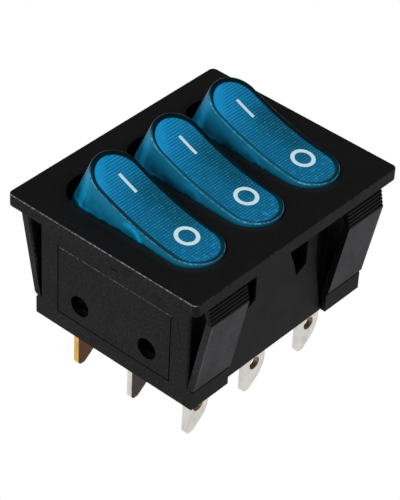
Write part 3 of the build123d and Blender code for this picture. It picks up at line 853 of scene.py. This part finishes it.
def pick(obj: bpy.types.Object, part: Part, test: Callable[..., bool]) -> None:
    """Opens edit mode with the corners or edges selected that pass a test.

    Args:
        obj: The active object.
        part: Which of the two to select.
        test: Takes a corner's place, or an edge's middle and direction.
    """
    bpy.ops.object.mode_set(mode="EDIT")
    bpy.ops.mesh.select_mode(type=part.value)
    bpy.ops.mesh.select_all(action="DESELECT")
    close()
    corners = obj.data.vertices
    if part is Part.CORNERS:
        for corner in corners:
            corner.select = test(corner.co)
    else:
        for edge in obj.data.edges:
            start, end = (corners[i].co for i in edge.vertices)
            edge.select = test((start + end) / 2, (end - start).normalized())
    bpy.ops.object.mode_set(mode="EDIT")


def activate(obj: bpy.types.Object) -> None:
    """Makes one object active, and the only one selected.

    Args:
        obj: The object.
    """
    fresh()
    obj.select_set(True)
    bpy.context.view_layer.objects.active = obj


def apply_all(obj: bpy.types.Object) -> None:
    """Applies an object's modifiers in order.

    Args:
        obj: The object, which is left active.
    """
    activate(obj)
    for modifier in list(obj.modifiers):
        bpy.ops.object.modifier_apply(modifier=modifier.name)


@dataclass
class Master:
    """A mesh that is modelled once and copied into place."""

    model: Callable[[], bpy.types.Object]  # models the level piece
    mesh: bpy.types.Mesh | None = None  # the modelled mesh, once it is there

    def copy(self, name: str, at: Matrix) -> bpy.types.Object:
        """Makes a placed copy with a mesh of its own.

        Args:
            name: The copy's name.
            at: The matrix to its place.

        Returns:
            The copy, its object at the origin.
        """
        if self.mesh is None:
            first = self.model()
            self.mesh = first.data.copy()
            bpy.data.objects.remove(first)
        made = bpy.data.objects.new(name, self.mesh.copy())
        bpy.context.scene.collection.objects.link(made)
        activate(made)
        made.matrix_world = at
        apply_place()
        return made


# --- Rocker ---------------------------------------------------------------------------
@dataclass
class RockerCap:
    """Dished translucent cap with its printed marks, sizes in millimetres."""

    tilt: float = 15.5
    pivot_z: float = -2.0
    base_width: float = 7.75
    base_length: float = 22.4
    rim_width: float = 7.5
    rim_length: float = 20.24
    skirt: float = 0.6
    height: float = 5.77
    dish_radius: float = 39.0
    drum_length: float = 30.0
    wall: float = 0.95
    sill: float = 1.7
    rim_round: float = 0.34
    rim_band: float = 0.5
    side_cuts: int = 31
    grid_span: int = 16
    ink: float = 0.02
    mark_x: float = 0.2
    bar_size: tuple = (0.43, 3.1)
    bar_y: float = 5.04
    ring_y: float = -5.05
    ring_radius: float = 1.34
    ring_width: float = 0.53

    def dish_at(self, y: float) -> float:
        """Height of the dished top above the pivot, in mm."""
        return self.height + self.dish_radius - math.sqrt(self.dish_radius ** 2 - y * y)

    def place(self, centre_x: float) -> Matrix:
        """Matrix from a level rocker to one at rest, centre_x metres along the row."""
        turn = Matrix.Rotation(math.radians(self.tilt), 4, "X")
        return Matrix.Translation((centre_x, 0, self.pivot_z * MM)) @ turn

    def outline(self) -> bpy.types.Object:
        """Round-ended ring of the skirt's edge, in edit mode."""
        fresh()
        bpy.ops.mesh.primitive_circle_add(
            vertices=STEPS, radius=self.base_width / 2 * MM, location=(0, 0, 0))
        ring = bpy.context.object
        shift = (self.base_length - self.base_width) / 2 * MM
        for side in (1, -1):
            pick(ring, Part.CORNERS, lambda co: co.y * side > TINY)
            bpy.ops.transform.translate(value=(0, side * shift, 0))
        pick(ring, Part.EDGES, lambda mid, way: abs(way.y) > 0.999 and abs(mid.y) < shift)
        bpy.ops.mesh.subdivide(number_cuts=self.side_cuts)
        return ring

    def shell(self) -> bpy.types.Object:
        """One level cap: leaning skirt, dished top, rounded rim and an even wall."""
        cap = self.outline()
        self.raise_skirt()
        top = cap.vertex_groups.new(name="top")
        level = self.dish_at(self.rim_length / 2) * MM - TINY
        top.add([v.index for v in cap.data.vertices if v.co.z > level], 1.0, "REPLACE")
        self.press_on_dish(cap, top.name)
        bpy.context.view_layer.objects.active = cap
        open_all()
        bpy.ops.mesh.normals_make_consistent(inside=False)
        self.select_rim(cap)
        bpy.ops.mesh.bevel(offset=self.rim_round * MM, segments=4, profile=0.5,
                           offset_type="OFFSET", clamp_overlap=False)
        close()
        wall = cap.modifiers.new("wall", "SOLIDIFY")
        wall.thickness = self.wall * MM
        wall.offset = -1
        apply_all(cap)
        bpy.ops.object.shade_smooth_by_angle(angle=math.radians(50))
        return cap

    def raise_skirt(self) -> None:
        """Draws the outline in edit mode up to the rim, and closes it with a level top."""
        rise = (self.dish_at(self.rim_length / 2) + self.skirt) * MM
        bpy.ops.mesh.select_all(action="SELECT")
        bpy.ops.transform.translate(value=(0, 0, -self.skirt * MM))
        bpy.ops.mesh.extrude_edges_move(TRANSFORM_OT_translate={"value": (0, 0, rise)})
        bpy.ops.transform.resize(value=(self.rim_width / self.base_width,
                                        self.rim_length / self.base_length, 1))
        bpy.ops.mesh.extrude_edges_move(TRANSFORM_OT_translate={"value": (0, 0, 0)})
        bpy.ops.transform.resize(value=(1 - 2 * self.rim_band / self.rim_width,
                                        1 - 2 * self.rim_band / self.rim_length, 1))
        bpy.ops.mesh.fill_grid(span=self.grid_span)
        close()

    @staticmethod
    def select_rim(cap: bpy.types.Object) -> None:
        """Selects the edges between the top and the skirt, and stays in edit mode.

        Args:
            cap: The cap in edit mode.
        """
        bpy.ops.mesh.select_mode(type="EDGE")
        bpy.ops.mesh.select_all(action="DESELECT")
        close()
        faces: dict = {}
        for face in cap.data.polygons:
            for key in face.edge_keys:
                faces.setdefault(key, []).append(face.normal.z > 0.8)
        for edge in cap.data.edges:
            edge.select = sorted(faces[edge.key]) == [False, True]
        bpy.ops.object.mode_set(mode="EDIT")

    def drum(self) -> bpy.types.Object:
        """Cylinder wall along X whose lowest line is the dish."""
        fresh()
        bpy.ops.mesh.primitive_cylinder_add(
            vertices=720, radius=self.dish_radius * MM, depth=self.drum_length * MM,
            end_fill_type="NOTHING",
            location=(0, 0, (self.height + self.dish_radius) * MM),
            rotation=(0, math.pi / 2, 0))
        drum = bpy.context.object
        apply_place()
        limit = self.height + self.dish_radius / 2
        pick(drum, Part.CORNERS, lambda co: co.z > limit * MM)
        bpy.ops.mesh.delete(type="VERT")
        close()
        return drum

    def press_on_dish(self, obj: bpy.types.Object, group: str = "") -> None:
        """Moves a mesh straight up or down onto the dish.

        Args:
            obj: The object.
            group: The vertex group that moves, or every vertex when empty.
        """
        drum = self.drum()
        wrap = obj.modifiers.new("dish", "SHRINKWRAP")
        wrap.target = drum
        wrap.wrap_method = "PROJECT"
        wrap.use_project_z = True
        wrap.use_negative_direction = True
        wrap.use_positive_direction = True
        wrap.vertex_group = group
        apply_all(obj)
        bpy.data.objects.remove(drum)

    def bar(self) -> bpy.types.Object:
        """The printed stroke of the on side, lying on the dish."""
        fresh()
        bpy.ops.mesh.primitive_plane_add(
            size=1, location=(self.mark_x * MM, self.bar_y * MM, 0))
        stroke = bpy.context.object
        stroke.scale = (self.bar_size[0] * MM, self.bar_size[1] * MM, 1)
        return self.lay(stroke, 24)

    def ring(self) -> bpy.types.Object:
        """The printed ring of the off side, lying on the dish."""
        fresh()
        outer = self.ring_radius + self.ring_width / 2
        middle = (self.mark_x * MM, self.ring_y * MM, 0)
        bpy.ops.mesh.primitive_circle_add(
            vertices=STEPS, radius=outer * MM, location=middle)
        ring = bpy.context.object
        open_all()
        inner = 1 - self.ring_width / outer
        bpy.ops.mesh.extrude_edges_move(TRANSFORM_OT_translate={"value": (0, 0, 0)})
        bpy.ops.transform.resize(value=(inner, inner, 1), center_override=middle)
        close()
        return self.lay(ring, 3)

    def lay(self, mark: bpy.types.Object, cuts: int) -> bpy.types.Object:
        """Divides a flat mark, lays it on the dish and gives it the ink's thickness.

        Args:
            mark: The flat mark.
            cuts: How many cuts divide each edge.

        Returns:
            The finished mark.
        """
        activate(mark)
        apply_place()
        open_all()
        bpy.ops.mesh.normals_make_consistent(inside=False)
        bpy.ops.mesh.subdivide(number_cuts=cuts)
        close()
        self.press_on_dish(mark)
        if mark.data.polygons[0].normal.z < 0:
            mark.data.flip_normals()
        film = mark.modifiers.new("ink", "SOLIDIFY")
        film.thickness = self.ink * MM
        film.offset = 1
        apply_all(mark)
        return mark


@dataclass
class RockerCore:
    """Guide tube, webs, tabs and pivot pins moulded inside a cap, sizes in millimetres."""

    cap: RockerCap
    tube_side: float = 4.4
    tube_bore: float = 1.6
    tube_low: float = -6.4
    tube_high: float = -0.05
    tube_seat: float = -1.0
    web_span: tuple = (1.2, 3.4)
    web_thickness: float = 0.8
    web_top: float = 5.1
    tab_span: tuple = (2.9, 3.98)
    tab_width: float = 3.4
    tab_bevel: float = 0.45
    pin_radius: float = 1.2
    pin_end: float = 5.3
    edge: float = 0.15

    def block(self, low: tuple, high: tuple, soft: float = 0.0) -> bpy.types.Object:
        """Rectangular block between two corners, its edges bevelled.

        Args:
            low: One corner in mm.
            high: The opposite corner in mm.
            soft: Width of the bevels in mm.

        Returns:
            The block.
        """
        fresh()
        centre = [(a + b) / 2 * MM for a, b in zip(low, high)]
        bpy.ops.mesh.primitive_cube_add(size=1, location=centre)
        made = bpy.context.object
        made.scale = [abs(b - a) * MM for a, b in zip(low, high)]
        apply_place()
        if soft:
            open_all()
            bpy.ops.mesh.bevel(offset=soft * MM, segments=2)
            close()
        return made

    def tube(self) -> bpy.types.Object:
        """Square guide tube, bored from below up to the spring's seat."""
        half = self.tube_side / 2
        tube = self.block((-half, -half, self.tube_low), (half, half, self.tube_high),
                          self.edge)
        fresh()
        bpy.ops.mesh.primitive_cylinder_add(
            vertices=64, radius=self.tube_bore * MM,
            depth=2 * (self.tube_seat - self.tube_low) * MM,
            location=(0, 0, self.tube_low * MM))
        drill = bpy.context.object
        apply_place()
        cut = tube.modifiers.new("bore", "BOOLEAN")
        cut.object = drill
        cut.operation = "DIFFERENCE"
        apply_all(tube)
        bpy.data.objects.remove(drill)
        return tube

    def side(self, sign: int) -> list[bpy.types.Object]:
        """Web, softened tab and pivot pin of one side, the pin's outer end bevelled.

        Args:
            sign: 1 on the right and -1 on the left.

        Returns:
            The three pieces.
        """
        start, end = self.web_span
        half = self.web_thickness / 2
        web = self.block((sign * start, -half, -self.cap.skirt),
                         (sign * end, half, self.web_top))
        start, end = self.tab_span
        half = self.tab_width / 2
        tab = self.block((sign * start, -half, -half), (sign * end, half, half),
                         self.tab_bevel)
        fresh()
        bpy.ops.mesh.primitive_cylinder_add(
            vertices=STEPS // 2, radius=self.pin_radius * MM,
            depth=(self.pin_end - start) * MM,
            location=(sign * (self.pin_end + start) / 2 * MM, 0, 0),
            rotation=(0, math.pi / 2, 0))
        pin = bpy.context.object
        apply_place()
        pick(pin, Part.EDGES, lambda mid, way: abs(way.x) < 0.5
             and abs(mid.x) > (self.pin_end - self.edge) * MM)
        bpy.ops.mesh.bevel(offset=self.edge * MM, segments=3)
        close()
        return [web, tab, pin]

    def model(self) -> bpy.types.Object:
        """One level core, joined from its pieces."""
        pieces = [self.tube(), *self.side(1), *self.side(-1)]
        fresh()
        for piece in pieces:
            piece.select_set(True)
        bpy.context.view_layer.objects.active = pieces[0]
        bpy.ops.object.join()
        bpy.ops.object.shade_smooth_by_angle(angle=math.radians(35))
        return pieces[0]


# --- The whole switch -----------------------------------------------------------------
@dataclass
class Switch:
    """Dresses every solid and adds the caps and marks."""

    cap: RockerCap = field(default_factory=RockerCap)
    finishes: dict = field(default_factory=dict)

    def centre_x(self, cell: str) -> float:
        """Middle of a cell along the row, in metres."""
        low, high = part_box(f"rocker_{cell}")
        return (low.x + high.x) / 2

    def mix_finishes(self) -> None:
        """Makes each finish once."""
        pitch = (self.centre_x("right") - self.centre_x("middle")) / MM
        # the brass row's front faces in painted shade
        brass = BladeStrip("bare_brass", MetalLook.BRASS, shaded_face=(0.160, 0.046, 0.007),
                           row_shares=(0.0, 1.0))
        self.finishes = {
            Finish.NYLON: MouldedNylon().make(pitch),
            Finish.LENS: TealLens().make(self.cap, pitch),
            Finish.TIN: BladeStrip("tin_plate", MetalLook.TIN).punched(pitch),
            Finish.BRASS: brass.punched(pitch),
            Finish.COPPER: StripMetal("copper_strip", MetalLook.COPPER).make(),
            Finish.SILVER: StripMetal("silver_contact", MetalLook.SILVER).make(),
            Finish.STEEL: StripMetal("spring_steel", MetalLook.STEEL).make(),
            Finish.BRONZE: StripMetal("leaf_bronze", MetalLook.BRONZE).make(),
            Finish.INK: INK.make(),
            Finish.GLASS: GLASS.make(),
            Finish.LACQUER: LACQUER.make(),
        }

    def dress(self) -> None:
        """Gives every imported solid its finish."""
        pieces = {
            Finish.NYLON: ("housing",), Finish.LENS: ("rocker",),
            Finish.TIN: ("lamp_contact", "resistor_link", "line_terminal",
                         "common_terminal"),
            Finish.BRASS: ("plunger", "lamp_terminal"), Finish.COPPER: ("contact_lever",),
            Finish.SILVER: ("lever_contact", "fixed_contact"),
            Finish.STEEL: ("plunger_spring",), Finish.BRONZE: ("lamp_leaf",),
            Finish.GLASS: ("lamp",), Finish.LACQUER: ("resistor",)}
        by_piece = {piece: finish for finish, group in pieces.items() for piece in group}
        for name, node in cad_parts.items():
            piece = name
            for cell in CELLS:
                piece = piece.removesuffix("_" + cell)
            node.data.materials.clear()
            node.data.materials.append(self.finishes[by_piece[piece]])
            log.info("dressed %s in %s", name, by_piece[piece].name.lower())

    def add_rockers(self) -> None:
        """Adds each cell's cap, its working parts and its marks."""
        shell, core, bar, ring = (Master(model) for model in (
            self.cap.shell, RockerCore(self.cap).model, self.cap.bar, self.cap.ring))
        for cell in CELLS:
            at = self.cap.place(self.centre_x(cell))
            body = f"rocker_body_{cell}"
            cap = shell.copy(f"rocker_cap_{cell}", at)
            cap.data.materials.append(self.finishes[Finish.LENS])
            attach(cap, body)
            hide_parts(f"rocker_{cell}")
            inside = core.copy(f"rocker_core_{cell}", at)
            inside.data.materials.append(self.finishes[Finish.LENS])
            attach(inside, body)
            marks = (bar.copy(f"on_mark_{cell}", at), ring.copy(f"off_mark_{cell}", at))
            for mark in marks:
                mark.data.materials.append(self.finishes[Finish.INK])
                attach(mark, body)
            log.info("cell %s: cap, core and two marks", cell)


@dataclass
class Studio:
    """Pale floor, soft lamps and the camera.

    Places are in metres and angles in degrees. Each lamp has its name, place, side in
    metres and power in watts, and the sky its strength.
    """

    floor_size: float = 1.2
    eye: tuple = (-0.17530, -0.14567, 0.17610)
    azimuth: float = -50.230
    elevation: float = 39.166
    roll: float = 3.012
    lens: float = 167.04
    sky: float = 0.26
    lamps: tuple = (
        ("left_softbox", (-0.42, -0.05, 0.16), 0.35, 0.7),
        ("front_softbox", (0.16, -0.42, 0.16), 0.35, 0.40),
        ("high_softbox", (0.02, 0.10, 0.55), 0.30, 1.0),
        ("back_strip", (-0.366, 0.303, 0.364), 0.10, 1.2))

    def floor(self, height: float) -> None:
        """Lays the floor under the blades' tips.

        Args:
            height: The floor's height in metres.
        """
        fresh()
        bpy.ops.mesh.primitive_plane_add(size=self.floor_size, location=(0, 0, height))
        floor = bpy.context.object
        floor.name = "floor"
        b = Bench("pale_floor")
        seen = b.node("LightPath", output="Is Camera Ray")
        mirrored = b.node("LightPath", output="Is Glossy Ray")
        passed = b.node("LightPath", output="Is Transmission Ray")
        plain = b.node("BsdfDiffuse", inputs={"Color": (0.8, 0.8, 0.8, 1)})
        glow = b.node("Emission", inputs={"Color": (1, 1, 1, 1), "Strength": 1.0})
        share = b.maths("MINIMUM", seen + mirrored + passed, 1.0)
        shader = b.node("MixShader", inputs={0: share, 1: plain, 2: glow})
        floor.data.materials.append(b.finish(shader))

    def world(self) -> None:
        """Even pale light from all round, white where the camera looks past the floor."""
        b = Bench("studio", world=True)
        seen = b.node("LightPath", output="Is Camera Ray")
        soft, white = (b.node("Background", inputs={"Color": (1, 1, 1, 1), "Strength": v})
                       for v in (self.sky, 1.0))
        bpy.context.scene.world = b.finish(
            b.node("MixShader", inputs={0: seen, 1: soft, 2: white}))

    def lamp(self, name: str, at: tuple, size: float, power: float) -> None:
        """Adds a square soft lamp that faces the object.

        Args:
            name: The lamp's name.
            at: Its place in metres.
            size: Its side in metres.
            power: Its power in watts.
        """
        data = bpy.data.lights.new(name, "AREA")
        data.shape = "SQUARE"
        data.size = size
        data.energy = power
        lamp = bpy.data.objects.new(name, data)
        bpy.context.scene.collection.objects.link(lamp)
        lamp.location = at
        lamp.rotation_euler = (-Vector(at)).to_track_quat("-Z", "Y").to_euler()

    def camera(self) -> None:
        """Sets the camera at the viewing angle."""
        a, e, r = (math.radians(v) for v in (self.azimuth, self.elevation, self.roll))
        right = Vector((math.cos(a), math.sin(a), 0))
        back = Vector((math.sin(a) * math.cos(e), -math.cos(a) * math.cos(e), math.sin(e)))
        up = back.cross(right)
        turned_right = right * math.cos(r) + up * math.sin(r)
        turned_up = up * math.cos(r) - right * math.sin(r)
        data = bpy.data.cameras.new("camera")
        data.lens = self.lens
        data.sensor_width = 36.0
        data.clip_start = 0.01
        camera = bpy.data.objects.new("camera", data)
        bpy.context.scene.collection.objects.link(camera)
        turn = Matrix((turned_right, turned_up, back)).transposed().to_4x4()
        camera.matrix_world = Matrix.Translation(self.eye) @ turn
        bpy.context.scene.camera = camera

    def build(self) -> None:
        """Sets the whole stage."""
        low, _ = CAD_BOX
        self.floor(low[2])
        self.world()
        for lamp in self.lamps:
            self.lamp(*lamp)
        self.camera()
        bpy.context.scene.view_settings.view_transform = "Standard"
        log.info("stage: floor, sky, %d lamps and camera", len(self.lamps))


def main() -> None:
    """Builds and dresses everything, then sets the stage."""
    logging.basicConfig(level=logging.INFO, format="%(name)s: %(message)s")
    switch = Switch()
    switch.mix_finishes()
    switch.dress()
    switch.add_rockers()
    Studio().build()


if __name__ == "__main__":
    main()
